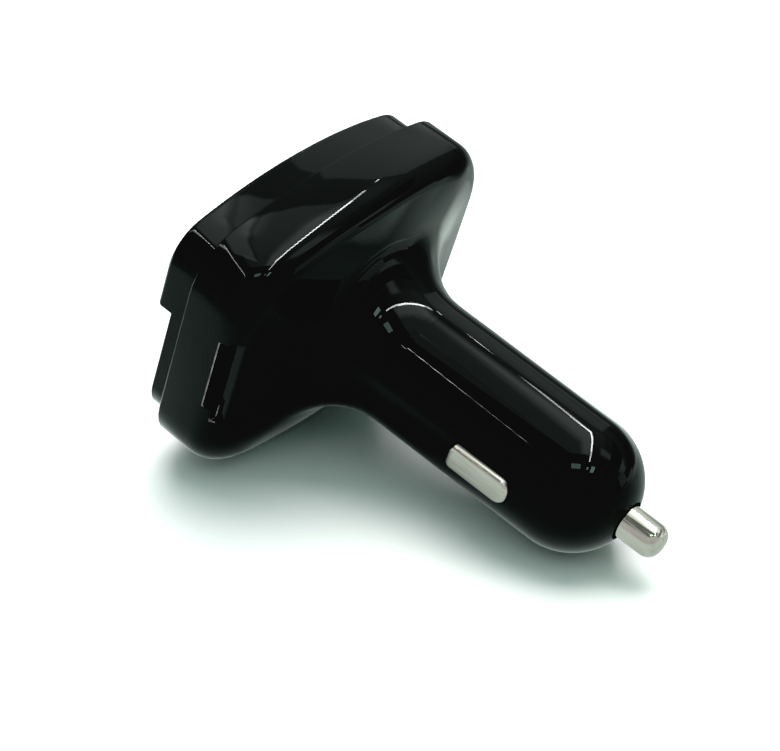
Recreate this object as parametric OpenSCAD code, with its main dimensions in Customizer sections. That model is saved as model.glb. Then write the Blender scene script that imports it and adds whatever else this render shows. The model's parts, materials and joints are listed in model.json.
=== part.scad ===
// Car FM transmitter that plugs into a 12 V accessory socket.
// Lengths are in millimetres. The plug's axis is Y: the centre pin points to +Y and the face to -Y.
// The origin is on that axis, where the straight barrel leaves the flare of the head.

/* [Head] */
// Width of the head
head_w = 55.2; // [52:0.2:62]
// Height of the head at its middle
head_h = 43.2; // [41:0.2:50]
// Bow of the head's long sides
head_bow = 3.8; // [2:0.1:5]
// Radius of the head's corners
corner_r = 8.6; // [7:0.1:10]
// Straight depth of the rim behind the seam
rim_straight = 6; // [6:0.1:9]
// Radius of the fillet behind the rim
rim_fillet_r = 5; // [3:0.1:6]
// Slope of the head's back, in degrees
flare_angle = 17; // [14:1:24]
// Radius of the neck between the head and the barrel
neck_r = 11; // [9:0.2:14]
// Wall of the head and the rim
head_wall = 2; // [1.6:0.1:2.4]
// Rounding of the rim's front edge
rim_edge_r = 0.3; // [0.1:0.05:0.6]

/* [Plug] */
// Radius of the barrel
barrel_r = 10.25; // [10:0.05:10.6]
// Length of the straight barrel
barrel_len = 28.8; // [27:0.2:34]
// Wall of the barrel and its dome
barrel_wall = 2; // [1.6:0.1:2.4]
// Radius of the well round the pin
pin_well_r = 3.15; // [3:0.05:3.6]
// Depth of the well round the pin, from the dome's crown
pin_well_depth = 1.6; // [1:0.1:2]

/* [Bezel] */
// Height of the lower panel in front of the seam
panel_out = 3.3; // [2.6:0.1:4.5]
// Height of the raised band in front of the seam
band_out = 6.1; // [5:0.1:7.5]
// Height of the band's lower edge over the plug's axis
band_z = 3.5; // [2.6:0.1:4.5]
// Rounding of the raised band's edges
band_edge_r = 0.9; // [0.5:0.1:1.5]
// Gap between the bezel and the rim
bezel_gap = 0.15; // [0.1:0.05:0.3]
// Wall of the bezel
bezel_wall = 1.4; // [1.1:0.1:1.8]
// Thickness of the bezel's face
face_wall = 1.8; // [1.5:0.1:2.2]
// Depth of the bezel's skirt behind the seam
skirt_depth = 3.6; // [2:0.1:4.2]
// Radius of the screw posts
post_r = 2.3; // [2:0.1:2.6]
// Gap between the lower posts and the bezel's wall
post_gap = 1.1; // [0.8:0.1:1.4]

/* [Window and display] */
// Width of the display window
window_w = 34; // [30:0.5:36]
// Height of the display window
window_h = 10.6; // [9:0.2:11.4]
// Thickness of the display window
window_t = 1.2; // [0.8:0.1:1.4]
// Rounding of the window's corners
window_corner_r = 1; // [0.6:0.1:1.4]
// Step of the window over the middle between the band and the keys
window_rise = -0.35; // [-0.8:0.05:0.8]
// Width of the ledge behind the window
window_ledge = 0.8; // [0.5:0.1:1.2]
// Width of the display module
display_w = 31; // [26:0.5:32]
// Height of the display module
display_h = 8.8; // [7:0.2:9]

/* [Keys] */
// Width of a key
key_w = 8.4; // [6:0.2:9]
// Height of a key
key_h = 4; // [3.2:0.1:4.4]
// Radius of a key's corners
key_corner_r = 1.3; // [0.6:0.1:1.5]
// Distance between two keys
key_pitch = 10.6; // [10.4:0.1:11.4]
// Distance between the keys and the panel's lower edge
key_margin = 3.45; // [3.2:0.05:4]
// Height of a key over the panel
key_out = 0.6; // [0.4:0.1:1.2]
// Gap round a key
key_gap = 0.15; // [0.1:0.05:0.25]
// Width of the collar that holds a key in
key_collar = 0.5; // [0.3:0.1:0.6]
// Radius of a key's stem
key_stem_r = 1.4; // [1:0.1:1.6]
// Width of a tactile switch
switch_w = 5.2; // [4.8:0.1:6]
// Depth of a tactile switch
switch_t = 2.6; // [2:0.1:3]
// Radius of a switch's plunger
plunger_r = 1.3; // [1:0.05:1.5]
// Height of a plunger over its switch
plunger_out = 0.8; // [0.5:0.1:1]

/* [USB sockets] */
// Distance between the two sockets
usb_pitch = 26.4; // [24:0.2:28]
// Step of the sockets over the middle of the band
usb_rise = -0.1; // [-0.3:0.05:0.3]
// Width of a socket's shell
usb_w = 13.1; // [12.9:0.05:13.4]
// Height of a socket's shell
usb_h = 5.7; // [5.5:0.05:6]
// Sheet of a socket's shell
usb_sheet = 0.3; // [0.2:0.05:0.4]
// Gap between a socket and the bezel
usb_gap = 0.2; // [0.1:0.05:0.4]
// Setback of a socket's mouth behind the band
usb_setback = 0.3; // [0:0.1:1]
// Thickness of a socket's tongue
tongue_t = 1.84; // [1.6:0.02:2]
// Gap between the tongue and the shell's upper side
tongue_drop = 0.72; // [0.6:0.02:0.9]
// Setback of the tongue behind the shell's mouth
tongue_setback = 0.8; // [0.5:0.1:1.2]
// Width of a contact in a socket
usb_pin_w = 1; // [0.8:0.05:1.2]
// Thickness of a contact in a socket
usb_pin_t = 0.25; // [0.2:0.01:0.28]
// Setback of the contacts behind the shell's mouth
usb_pin_setback = 1.4; // [1.2:0.1:2]
// Width of the cut for a spring tab in a shell
usb_tab_w = 2; // [1.6:0.1:2.4]
// Length of the cut for a spring tab
usb_tab_l = 3.2; // [2.6:0.1:3.6]
// Distance between a shell's mouth and the middle of its spring tabs
usb_tab_y = 4; // [3.4:0.1:4.6]
// Distance between the two spring tabs of one side
usb_tab_pitch = 6; // [5:0.1:7]

/* [Microphone] */
// Radius of the microphone
mic_r = 2; // [1.8:0.1:2.2]
// Thickness of the microphone
mic_t = 1.5; // [1.2:0.1:1.8]
// Radius of the hole in the bezel in front of it
mic_hole_r = 0.6; // [0.4:0.05:0.8]
// Gap between the microphone and the upper post
mic_gap = 0.475; // [0.3:0.025:0.8]

/* [Boards] */
// Depth of the main board's front behind the seam
board_y = 5.6; // [5.2:0.1:5.7]
// Thickness of the boards
board_t = 1.2; // [0.8:0.1:1.3]
// Gap between the main board and the rim
board_gap = 0.6; // [0.4:0.1:1]
// Gap between the power board's edges and the barrel's bore
power_gap = 0.55; // [0.4:0.05:1]
// Depth of the board rails inside the barrel
rail_depth = 1.8; // [1.4:0.1:2.1]
// Thickness of a rail
rail_t = 1; // [0.8:0.1:1.4]
// Gap between a board and its rail
rail_gap = 0.1; // [0.05:0.05:0.2]

/* [Card slot] */
// Length of the card slot
slot_len = 12.1; // [11.6:0.1:12.6]
// Width of the card slot
slot_w = 1.5; // [1.2:0.1:1.6]
// Height of the slot's middle
slot_z = 0.8; // [0:0.1:1]
// Length of the nail recess behind the slot
recess_len = 15; // [14:0.2:17]
// Depth of the nail recess, from the rim's side
recess_depth = 2; // [1.4:0.1:2.2]
// Distance between the rim's wall and the card socket's mouth
mouth_gap = 1.6; // [1.4:0.1:2]
// Length of the card socket, from its mouth
card_l = 12.6; // [12:0.2:13.4]
// Width of the card socket
card_w = 13.6; // [13.2:0.1:14.2]
// Thickness of the card socket
card_t = 1.4; // [1.3:0.05:1.5]
// Width of the socket's pocket for the card
pocket_w = 11.2; // [11.1:0.05:11.6]
// Floor of the socket under the card
pocket_floor = 0.35; // [0.3:0.05:0.5]
// Thickness of the socket's cover
cover_t = 0.2; // [0.15:0.05:0.3]

/* [Centre pin] */
// Radius of the pin
pin_r = 2.66; // [2.4:0.02:2.7]
// Length of the pin beyond the dome
pin_out = 5.8; // [5:0.1:7]
// Rounding of the pin's tip
pin_tip_r = 1.9; // [1:0.1:2.2]
// Running gap round the pin
pin_gap = 0.09; // [0.05:0.01:0.1]
// Radius of the pin's collar
pin_collar_r = 4.1; // [3.7:0.1:4.4]
// Thickness of the pin's collar
pin_collar_t = 1.2; // [0.8:0.1:1.6]
// Thickness of the dome's floor under the collar
dome_floor = 3.4; // [3:0.1:3.8]
// Travel of the pin
pin_travel = 3.5; // [2.5:0.1:4]
// Radius of the spring's coil
spring_r = 3.1; // [2.8:0.1:3.3]
// Radius of the spring's wire
wire_r = 0.3; // [0.2:0.02:0.36]
// Turns of the spring
spring_turns = 6; // [5:1:7]
// Width of the spring seat's tabs
seat_tab_w = 4; // [3:0.1:5]
// Length of the spring seat's tabs
seat_tab_l = 2.4; // [2:0.1:3]

/* [Side contacts] */
// Distance from the barrel's root to a contact's middle
contact_y = 19.5; // [18.6:0.1:20]
// Length of a contact
contact_len = 10.6; // [9.6:0.1:11.4]
// Width of a contact
contact_w = 4.2; // [3.6:0.1:4.6]
// Height of a contact over the barrel
contact_out = 0.9; // [0.6:0.1:1.2]
// Rounding of a contact's edges
contact_edge_r = 0.7; // [0.6:0.05:0.8]
// Gap round a contact
contact_gap = 0.15; // [0.1:0.05:0.3]
// Radius of a contact's corners toward the head
contact_head_r = 1; // [0.9:0.1:1.6]
// Radius of a contact's corners toward the tip
contact_tip_r = 1.8; // [1:0.1:1.8]
// Sheet of a contact
contact_sheet = 0.4; // [0.3:0.05:0.5]
// Length of each inner arm of a contact
contact_arm = 3.4; // [2.6:0.1:4]
// Travel of a contact
contact_travel = 0.8; // [0.5:0.1:0.9]
// Setback of a contact's arms inside the barrel's bore
contact_setback = 0.6; // [0.5:0.05:0.8]
// Step between a contact's edge and its arms' edge
contact_step = 0.4; // [0.2:0.05:0.6]

/* [Parts on the boards] */
// Width of the wireless chip
wireless_w = 6; // [5:0.5:7]
// Thickness of the wireless chip
wireless_t = 0.9; // [0.7:0.1:1.1]
// Width of the memory chip
memory_w = 4.9; // [4:0.1:5.2]
// Height of the memory chip
memory_h = 3.9; // [3.5:0.1:4.2]
// Thickness of the memory chip
memory_t = 1.2; // [1:0.1:1.5]
// Length of the crystal
crystal_w = 3.2; // [2.5:0.1:3.6]
// Height of the crystal
crystal_h = 2.5; // [2:0.1:2.8]
// Thickness of the crystal
crystal_t = 0.8; // [0.6:0.1:1]
// Distance of the column of chips from the plug's axis
chip_x = 13.5; // [12.5:0.1:14.5]
// Gap between two chips in the column
chip_gap = 1.4; // [1:0.1:2]
// Width of the inductor
inductor_w = 6.2; // [5:0.1:6.6]
// Thickness of the inductor
inductor_t = 3.4; // [2.6:0.1:4]
// Radius of the dimple in the inductor
dimple_r = 1.55; // [1.2:0.05:2]
// Distance between the main board and the inductor
inductor_gap = 6.2; // [5.6:0.1:7]
// Length of the two can capacitors
can_len = 8; // [6:0.5:9]
// Radius of the input capacitor
input_can_r = 2.9; // [2.4:0.1:3.1]
// Radius of the output capacitor
output_can_r = 2.5; // [2:0.1:3]
// Length of the regulator chip
regulator_l = 5; // [4:0.1:5.5]
// Width of the regulator chip
regulator_w = 4; // [3:0.1:4.4]
// Thickness of the regulator chip
regulator_t = 1.5; // [1:0.1:1.8]
// Length of the diode
diode_l = 4.3; // [3.5:0.1:4.6]
// Width of the diode
diode_w = 2.6; // [2:0.1:2.8]
// Thickness of the diode
diode_t = 2; // [1.6:0.1:2.3]
// Gap between the diode and the capacitors
diode_gap = 0.35; // [0.3:0.05:0.8]

/* [Hidden] */

$fn = 64;
tiny = 0.01;
cut = 1;

// Steps of the head's outline in each quarter: side, corner and bow
outer_steps = [4, 7, 8];
inner_steps = [2, 4, 4];

// The profile of the flare is true across the head's width, and shrinks or grows in other directions
flare_reach = head_w / 2 - barrel_r;
flare_sweep = 90 - flare_angle;
fillet_end_u = flare_reach - rim_fillet_r + rim_fillet_r * cos(flare_sweep);
neck_start_u = neck_r - neck_r * cos(flare_sweep);
head_depth = rim_straight + (rim_fillet_r + neck_r) * sin(flare_sweep)
    + (fillet_end_u - neck_start_u) * tan(flare_angle);
seam_y = -head_depth;
// Height by which the flare's last ring stands over the barrel, so that its facets clear the cylinder
neck_step = 0.03;
neck_overlap = 0.05;
// Turn of the plug's seam, so that it runs clear of the contacts' windows
plug_turn = 52.5;

bore_r = barrel_r - barrel_wall;
dome_y = barrel_len;
crown_y = dome_y + barrel_r;
collar_seat_y = crown_y - dome_floor;
collar_back_y = collar_seat_y - pin_collar_t;
pin_bore_r = pin_r + pin_gap;

bezel_inset = head_wall + bezel_gap;
panel_y = seam_y - panel_out;
band_y = seam_y - band_out;
skirt_y = seam_y + skirt_depth;
inner_inset = bezel_inset + bezel_wall;
panel_edge = head_h / 2 - bezel_inset;
key_z = key_margin + key_h / 2 - panel_edge;
window_z = (band_z + key_z + key_h / 2) / 2 + window_rise;
usb_z = (band_z + panel_edge) / 2 + usb_rise;
edge_steps = 3;

main_front_y = seam_y + board_y;
main_back_y = main_front_y + board_t;
mouth_x = head_w / 2 - head_wall - mouth_gap;
slot_step = 0.15;
slot_y = main_back_y + card_t / 2 + slot_step;
slot_back_y = slot_y + slot_w / 2;
recess_x = head_w / 2 - recess_depth;

// Screws through the main board into the bezel's posts: two at the lower corners and one at the top
screw_r = 0.9;
screw_hole_r = screw_r + 0.05;
board_hole_r = screw_r + 0.2;
screw_head_r = 1.8;
screw_head_t = 1.1;
screw_cross_l = 2.16;
screw_cross_w = 0.4;
screw_cross_depth = 0.5;
screw_hole_len = 5;
screw_len = 4.6;
post_drop = 0.6;
top_post_inset = 1.9;
post_x = head_w / 2 - inner_inset - post_r - post_gap;
post_z = window_z - window_h / 2 - post_drop;
top_post_z = head_h / 2 - inner_inset - top_post_inset;
post_points = [[-post_x, post_z], [post_x, post_z], [0, top_post_z]];

key_xs = [-key_pitch, 0, key_pitch];
key_travel = 0.3;
switch_front_y = main_front_y - switch_t;
plunger_y = switch_front_y - plunger_out;
collar_gap = 0.1;
collar_front_y = panel_y + face_wall + collar_gap;
collar_t = 0.7;
plunger_depth = 1.1;
plunger_gap = 0.08;
plunger_room = 0.2;

window_back_y = panel_y + window_t;
window_fit = 0.05;
window_open_r = 0.6;
display_gap = 0.3;
display_front_y = panel_y + face_wall + display_gap;

usb_front_y = band_y + usb_setback;
tongue_root = 2.4;
tongue_fit = 0.05;
tongue_margin = 0.5;
tongue_z = usb_h / 2 - usb_sheet - tongue_drop - tongue_t / 2;
usb_pin_xs = [-3.5, -1, 1, 3.5];
usb_pin_z = tongue_z - tongue_t / 2 + 0.1;
usb_groove_w = usb_pin_w + 0.1;
usb_groove_t = usb_pin_t + 0.05;
usb_hole_r = usb_pin_w / 2 + 0.1;
leg_w = 1.4;
leg_z = 1.2;
leg_gap = 0.15;
lead_len = 0.9;

mic_z = top_post_z - post_r - mic_gap - mic_r;
mic_port_r = 0.8;
mic_port_depth = 0.3;

header_pitch = 2.54;
header_xs = [for (i = [-1.5:1:1.5]) i * header_pitch];
header_body = 2.5;
header_pin = 0.64;
header_gap = 0.02;
header_hole_r = 0.5;
header_tip = 0.5;
header_tail = 0.9;
header_z = board_t / 2 + header_body / 2;
header_bend_y = main_back_y + header_body + 1.3;

memory_chip_z = -4.75;
dimple_depth = 0.4;
regulator_step = 1;

pocket_wall = 1;
cover_cuts = 4;
cover_cut_l = 3.2;
cover_cut_w = 1.2;
cover_cut_pitch = 2.6;
cover_cut_x = 2;

rail_y0 = 2;
rail_root = 0.5;
power_w = 2 * (bore_r - power_gap);

// The spring has its free length at rest, and room for its coils and a spare when the pin is pressed in
seat_t = 0.5;
seat_margin = 0.3;
seat_r = spring_r + wire_r + seat_margin;
seat_hole_r = 0.8;
spring_spare = 3.45;
spring_y0 = collar_back_y - pin_travel - 2 * wire_r * spring_turns - spring_spare;
power_end_y = spring_y0 - seat_t;

// The power board is narrow between the contacts' arms, with room for their travel
arm_x = bore_r - contact_setback;
arm_room = 1.95;
power_neck_w = 2 * (arm_x - contact_sheet - contact_travel - arm_room);
power_neck_y = contact_y - contact_len / 2 - contact_arm - contact_travel;
rail_y1 = power_neck_y;

coil_pad = 0.02;

// Outline of a head-like shape: straight ends, bowed long sides and round corners, as [x, z] points
function bow_radius(w, bow) = (w * w / 4 + bow * bow) / (2 * bow);

function quarter(w, h, bow, r, steps) =
    let (big = bow_radius(w, bow), mid = h / 2 - big, kx = w / 2 - r,
        kz = mid + sqrt((big - r) * (big - r) - kx * kx), turn = atan2(kz - mid, kx))
    concat([for (i = [0:steps[0] - 1]) [w / 2, kz * i / steps[0]]],
        [for (i = [0:steps[1] - 1]) [kx + r * cos(turn * i / steps[1]), kz + r * sin(turn * i / steps[1])]],
        [for (i = [0:steps[2]]) let (a = turn + (90 - turn) * i / steps[2])
            [big * cos(a), mid + big * sin(a)]]);

function all_round(q) =
    let (n = len(q) - 1)
    concat([for (i = [0:n - 1]) q[i]],
        [for (i = [0:n - 1]) [-q[n - i][0], q[n - i][1]]],
        [for (i = [0:n - 1]) -q[i]],
        [for (i = [0:n - 1]) [q[n - i][0], -q[n - i][1]]]);

function head_outline(inset, steps) =
    all_round(quarter(head_w - 2 * inset, head_h - 2 * inset, head_bow, corner_r - inset, steps));

// Ring of points at depth y, part of the way from a circle of radius base_r to an outline
function flare_ring(outline, base_r, part, y) =
    [for (p = outline) let (k = (base_r + (norm(p) - base_r) * part) / norm(p)) [p[0] * k, y, p[1] * k]];

// Profile of the back as [part, y]: fillet behind the rim, straight slope, then the neck's hollow
function flare_profile(fillet, neck, fillet_steps, neck_steps) =
    concat([for (i = [0:fillet_steps]) let (a = flare_sweep * i / fillet_steps)
            [(flare_reach - fillet + fillet * cos(a)) / flare_reach,
                seam_y + rim_straight + fillet * sin(a)]],
        [for (i = [0:neck_steps]) let (a = flare_sweep * (1 - i / neck_steps))
            [(neck - neck * cos(a)) / flare_reach, -neck * sin(a)]]);

// Rounded front edge as [inset, y], from the front face at depth y back to the side
function edge_rounding(r, y, steps) =
    [for (i = [0:steps]) let (a = 90 * i / steps) [r * (1 - sin(a)), y + r * (1 - cos(a))]];

// Middle of a ring of points
function middle(ring) =
    [for (axis = [0:2]) let (along = [for (p = ring) p[axis]]) (min(along) + max(along)) / 2];

// Skin over a row of rings, with each end closed by a fan
module loft(rings) {
    n = len(rings[0]);
    m = len(rings);
    points = concat([for (ring = rings) each ring], [middle(rings[0]), middle(rings[m - 1])]);
    sides = [for (k = [0:m - 2], i = [0:n - 1]) let (j = (i + 1) % n)
        each [[k * n + i, k * n + j, (k + 1) * n + j], [k * n + i, (k + 1) * n + j, (k + 1) * n + i]]];
    front = [for (i = [0:n - 1]) [m * n, (i + 1) % n, i]];
    back = [for (i = [0:n - 1]) [m * n + 1, (m - 1) * n + i, (m - 1) * n + (i + 1) % n]];
    polyhedron(points, concat(sides, front, back));
}

module slab(points, y0, y1) {
    translate([0, y1, 0]) rotate([90, 0, 0]) linear_extrude(y1 - y0) polygon(points);
}

module block(x, z, y0, y1, w, h) {
    translate([x - w / 2, y0, z - h / 2]) cube([w, y1 - y0, h]);
}

module rod(x, z, y0, y1, r) {
    translate([x, y0, z]) rotate([-90, 0, 0]) cylinder(h = y1 - y0, r = r);
}

module round_block(x, z, y0, y1, w, h, r) {
    translate([x, y1, z]) rotate([90, 0, 0]) linear_extrude(y1 - y0) {
        square([w - 2 * r, h], center = true);
        square([w, h - 2 * r], center = true);
        for (sx = [-1, 1], sz = [-1, 1])
            translate([sx * (w / 2 - r), sz * (h / 2 - r)]) circle(r = r);
    }
}

// Rear housing: rim, flared back, barrel and dome are one moulding

module head_solid() {
    outline = head_outline(0, outer_steps);
    profile = flare_profile(rim_fillet_r, neck_r, 6, 9);
    loft(concat([for (p = edge_rounding(rim_edge_r, seam_y, edge_steps))
            flare_ring(head_outline(p[0], outer_steps), barrel_r, 1, p[1])],
        [for (p = profile) flare_ring(outline, barrel_r + neck_step, p[0], p[1])]));
}

module head_hollow() {
    outline = head_outline(head_wall, inner_steps);
    profile = flare_profile(rim_fillet_r - head_wall, neck_r + head_wall, 4, 5);
    loft(concat([flare_ring(outline, bore_r, 1, seam_y - cut)],
        [for (p = profile) flare_ring(outline, bore_r - neck_step, p[0], p[1])]));
}

module board_rails() {
    for (side = [-1, 1], face = [-1, 1])
        translate([side * (bore_r + (rail_root - rail_depth) / 2), (rail_y0 + rail_y1) / 2,
                face * (board_t / 2 + rail_gap + rail_t / 2)])
            cube([rail_depth + rail_root, rail_y1 - rail_y0, rail_t], center = true);
}

module contact_window(side) {
    translate([side > 0 ? 0 : -barrel_r - cut, 0, 0]) rotate([90, 0, 90])
        linear_extrude(barrel_r + cut) polygon(contact_outline(-contact_gap));
}

// Section of the plug, as [radius, y], with its far end rounded into a dome
module plug_section(r, neck, end) {
    intersection() {
        union() {
            translate([0, -neck_r / 2]) square([neck, neck_r]);
            translate([0, -neck_overlap]) square([r, dome_y + neck_overlap]);
            translate([0, dome_y]) circle(r = r);
        }
        translate([0, -neck_r / 2]) square([r, end + neck_r / 2]);
    }
}

module plug_solid(r, neck, end) {
    rotate([-90, plug_turn, 0]) rotate_extrude() plug_section(r, neck, end);
}

module rear_housing() {
    color("#17191a") {
        difference() {
            union() {
                head_solid();
                plug_solid(barrel_r, bore_r + barrel_wall / 2, crown_y);
            }
            head_hollow();
            plug_solid(bore_r, bore_r - barrel_wall / 2, collar_seat_y);
            rod(0, 0, dome_y, crown_y + cut, pin_bore_r);
            rod(0, 0, crown_y - pin_well_depth, crown_y + cut, pin_well_r);
            contact_window(1);
            contact_window(-1);
            translate([mouth_x - cut, slot_y - slot_w / 2, slot_z - slot_len / 2])
                cube([head_w / 2 - mouth_x + 2 * cut, slot_w, slot_len]);
            translate([recess_x, slot_back_y - tiny, -recess_len / 2])
                cube([recess_depth + cut, rim_fillet_r, recess_len]);
        }
        board_rails();
    }
}

// Front bezel: raised band above, lower panel below, with a skirt that sits in the rim

module lower_cutter() {
    far = band_y - cut;
    translate([-head_w / 2, 0, 0]) rotate([90, 0, 90]) linear_extrude(head_w) difference() {
        union() {
            translate([far, -head_h]) square([panel_y - far, head_h + band_z]);
            translate([far, 0]) square([cut + band_edge_r, band_z + band_edge_r]);
        }
        translate([band_y + band_edge_r, band_z + band_edge_r]) circle(r = band_edge_r);
    }
}

module bezel_solid() {
    loft(concat([for (p = edge_rounding(band_edge_r, band_y, edge_steps + 1))
            flare_ring(head_outline(bezel_inset + p[0], outer_steps), barrel_r, 1, p[1])],
        [flare_ring(head_outline(bezel_inset, outer_steps), barrel_r, 1, skirt_y)]));
}

module bezel_hollow() {
    outline = head_outline(inner_inset, inner_steps);
    slab(outline, panel_y + face_wall, skirt_y + cut);
    intersection() {
        slab(outline, band_y + face_wall, panel_y + face_wall + cut);
        translate([-head_w / 2, band_y, band_z + bezel_wall]) cube([head_w, band_out, head_h]);
    }
}

module screw_posts() {
    intersection() {
        union() for (p = post_points) rod(p[0], p[1], panel_y + face_wall / 2, main_front_y, post_r);
        slab(head_outline(bezel_inset + bezel_wall / 2, inner_steps), band_y, main_front_y);
    }
}

module front_bezel() {
    color("#1b1d1f") difference() {
        union() {
            difference() {
                bezel_solid();
                lower_cutter();
                bezel_hollow();
            }
            screw_posts();
        }
        for (p = post_points)
            rod(p[0], p[1], main_front_y - screw_hole_len, main_front_y + cut, screw_hole_r);
        round_block(0, window_z, panel_y - cut, window_back_y, window_w, window_h, window_corner_r);
        round_block(0, window_z, panel_y - cut, panel_y + face_wall + cut, window_w - 2 * window_ledge,
            window_h - 2 * window_ledge, window_open_r);
        for (x = key_xs) round_block(x, key_z, panel_y - cut, panel_y + face_wall + cut,
                key_w + 2 * key_gap, key_h + 2 * key_gap, key_corner_r + key_gap);
        for (s = [-1, 1]) block(s * usb_pitch / 2, usb_z, band_y - cut, band_y + face_wall + cut,
                usb_w + 2 * usb_gap, usb_h + 2 * usb_gap);
        rod(0, mic_z, band_y - cut, band_y + face_wall + cut, mic_hole_r);
    }
}

module display_window() {
    color("#0c1012") round_block(0, window_z, panel_y + window_fit, window_back_y, window_w - 2 * window_fit,
        window_h - 2 * window_fit, window_corner_r - window_fit);
}

module display_module() {
    color("#202325") block(0, window_z, display_front_y, main_front_y, display_w, display_h);
}

// Keys, with the plunger and the body of the switch behind each

module key(x) {
    color("#1e2022") {
        round_block(x, key_z, panel_y - key_out, collar_front_y + tiny, key_w, key_h, key_corner_r);
        round_block(x, key_z, collar_front_y, collar_front_y + collar_t, key_w + 2 * (key_gap + key_collar),
            key_h + 2 * (key_gap + key_collar), key_corner_r);
        rod(x, key_z, collar_front_y + collar_t - tiny, plunger_y, key_stem_r);
    }
}

module plunger(x) {
    color("#8f2f2a") rod(x, key_z, plunger_y, switch_front_y + plunger_depth, plunger_r);
}

module switch_body(x) {
    color("#2b2b2d") difference() {
        block(x, key_z, switch_front_y, main_front_y, switch_w, switch_w);
        rod(x, key_z, switch_front_y - cut, switch_front_y + plunger_depth + key_travel + plunger_room,
            plunger_r + plunger_gap);
    }
}

// USB sockets: a folded shell, a tongue and four contacts each

module usb_shell(side) {
    x = side * usb_pitch / 2;
    color("silver") difference() {
        union() {
            block(x, usb_z, usb_front_y, main_front_y, usb_w, usb_h);
            for (s = [-1, 1]) block(x + s * (usb_w - usb_sheet) / 2, usb_z + leg_z, main_front_y - cut,
                    main_back_y + lead_len, usb_sheet, leg_w);
        }
        block(x, usb_z, usb_front_y - cut, main_front_y + cut, usb_w - 2 * usb_sheet, usb_h - 2 * usb_sheet);
        for (s = [-1, 1]) translate([x + s * usb_tab_pitch / 2, usb_front_y + usb_tab_y, usb_z])
                cube([usb_tab_w, usb_tab_l, usb_h + cut], center = true);
    }
}

module usb_tongue(side) {
    x = side * usb_pitch / 2;
    inset = usb_sheet + tongue_fit;
    color("#e9ebe6") difference() {
        union() {
            block(x, usb_z, main_front_y - tongue_root, main_front_y, usb_w - 2 * inset, usb_h - 2 * inset);
            block(x, usb_z + tongue_z, usb_front_y + tongue_setback, main_front_y,
                usb_w - 2 * (inset + tongue_margin), tongue_t);
        }
        for (dx = usb_pin_xs)
            block(x + dx, usb_z + usb_pin_z, usb_front_y, main_front_y + cut, usb_groove_w, usb_groove_t);
    }
}

module usb_contacts(side) {
    x = side * usb_pitch / 2;
    color("gold") for (dx = usb_pin_xs)
        block(x + dx, usb_z + usb_pin_z, usb_front_y + usb_pin_setback, main_back_y + lead_len, usb_pin_w,
            usb_pin_t);
}

// Boards and what is soldered to them

module main_board() {
    color("#1f5a38") difference() {
        slab(head_outline(head_wall + board_gap, inner_steps), main_front_y, main_back_y);
        for (p = post_points) rod(p[0], p[1], main_front_y - cut, main_back_y + cut, board_hole_r);
        for (side = [-1, 1]) {
            for (s = [-1, 1])
                block(side * usb_pitch / 2 + s * (usb_w - usb_sheet) / 2, usb_z + leg_z, main_front_y - cut,
                    main_back_y + cut, usb_sheet + 2 * leg_gap, leg_w + 2 * leg_gap);
            for (dx = usb_pin_xs)
                rod(side * usb_pitch / 2 + dx, usb_z + usb_pin_z, main_front_y - cut, main_back_y + cut,
                    usb_hole_r);
        }
        for (x = header_xs) rod(x, header_z, main_front_y - cut, main_back_y + cut, header_hole_r);
    }
}

module power_board() {
    color("#1f5a38") difference() {
        union() {
            block(0, 0, main_back_y, power_neck_y, power_w, board_t);
            block(0, 0, main_back_y, power_end_y, power_neck_w, board_t);
        }
        for (x = header_xs) translate([x, header_bend_y, 0])
                cylinder(h = board_t + cut, r = header_hole_r, center = true);
    }
}

module board_screws() {
    color("silver") for (p = post_points) {
        rod(p[0], p[1], main_front_y - screw_len, main_back_y, screw_r);
        difference() {
            rod(p[0], p[1], main_back_y, main_back_y + screw_head_t, screw_head_r);
            for (turn = [0, 90]) translate([p[0], main_back_y + screw_head_t, p[1]]) rotate([0, turn, 0])
                    cube([screw_cross_l, 2 * screw_cross_depth, screw_cross_w], center = true);
        }
    }
}

module header_strip() {
    color("#202020") difference() {
        block(0, header_z, main_back_y, main_back_y + header_body, 4 * header_pitch, header_body);
        for (x = header_xs) block(x, header_z, main_back_y - cut, main_back_y + header_body + cut,
                header_pin + 2 * header_gap, header_pin + 2 * header_gap);
    }
}

module header_pins() {
    low_z = -board_t / 2 - header_tail;
    color("gold") for (x = header_xs) {
        block(x, header_z, main_front_y - header_tip, header_bend_y + header_pin / 2, header_pin, header_pin);
        translate([x - header_pin / 2, header_bend_y - header_pin / 2, low_z])
            cube([header_pin, header_pin, header_z - low_z + header_pin / 2]);
    }
}

module card_socket() {
    color("#1a1a1a") difference() {
        translate([mouth_x - card_l, main_back_y, slot_z - card_w / 2])
            cube([card_l, card_t - cover_t, card_w]);
        translate([mouth_x - card_l + pocket_wall, main_back_y + pocket_floor, slot_z - pocket_w / 2])
            cube([card_l, card_t, pocket_w]);
    }
}

module card_cover() {
    reach = (cover_cuts - 1) * cover_cut_pitch + cover_cut_w;
    color("silver") translate([mouth_x - card_l, main_back_y + card_t - cover_t, slot_z - card_w / 2])
        difference() {
            cube([card_l, cover_t, card_w]);
            for (k = [0:cover_cuts - 1])
                translate([cover_cut_x, -cut, (card_w - reach) / 2 + k * cover_cut_pitch])
                    cube([cover_cut_l, cover_t + 2 * cut, cover_cut_w]);
        }
}

module microphone() {
    color("#9a9c9e") difference() {
        rod(0, mic_z, main_front_y - mic_t, main_front_y, mic_r);
        rod(0, mic_z, main_front_y - mic_t - cut, main_front_y - mic_t + mic_port_depth, mic_port_r);
    }
}

module bluetooth_chip() {
    color("#161616") block(-chip_x, memory_chip_z + memory_h / 2 + chip_gap + wireless_w / 2, main_back_y,
        main_back_y + wireless_t, wireless_w, wireless_w);
}

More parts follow.
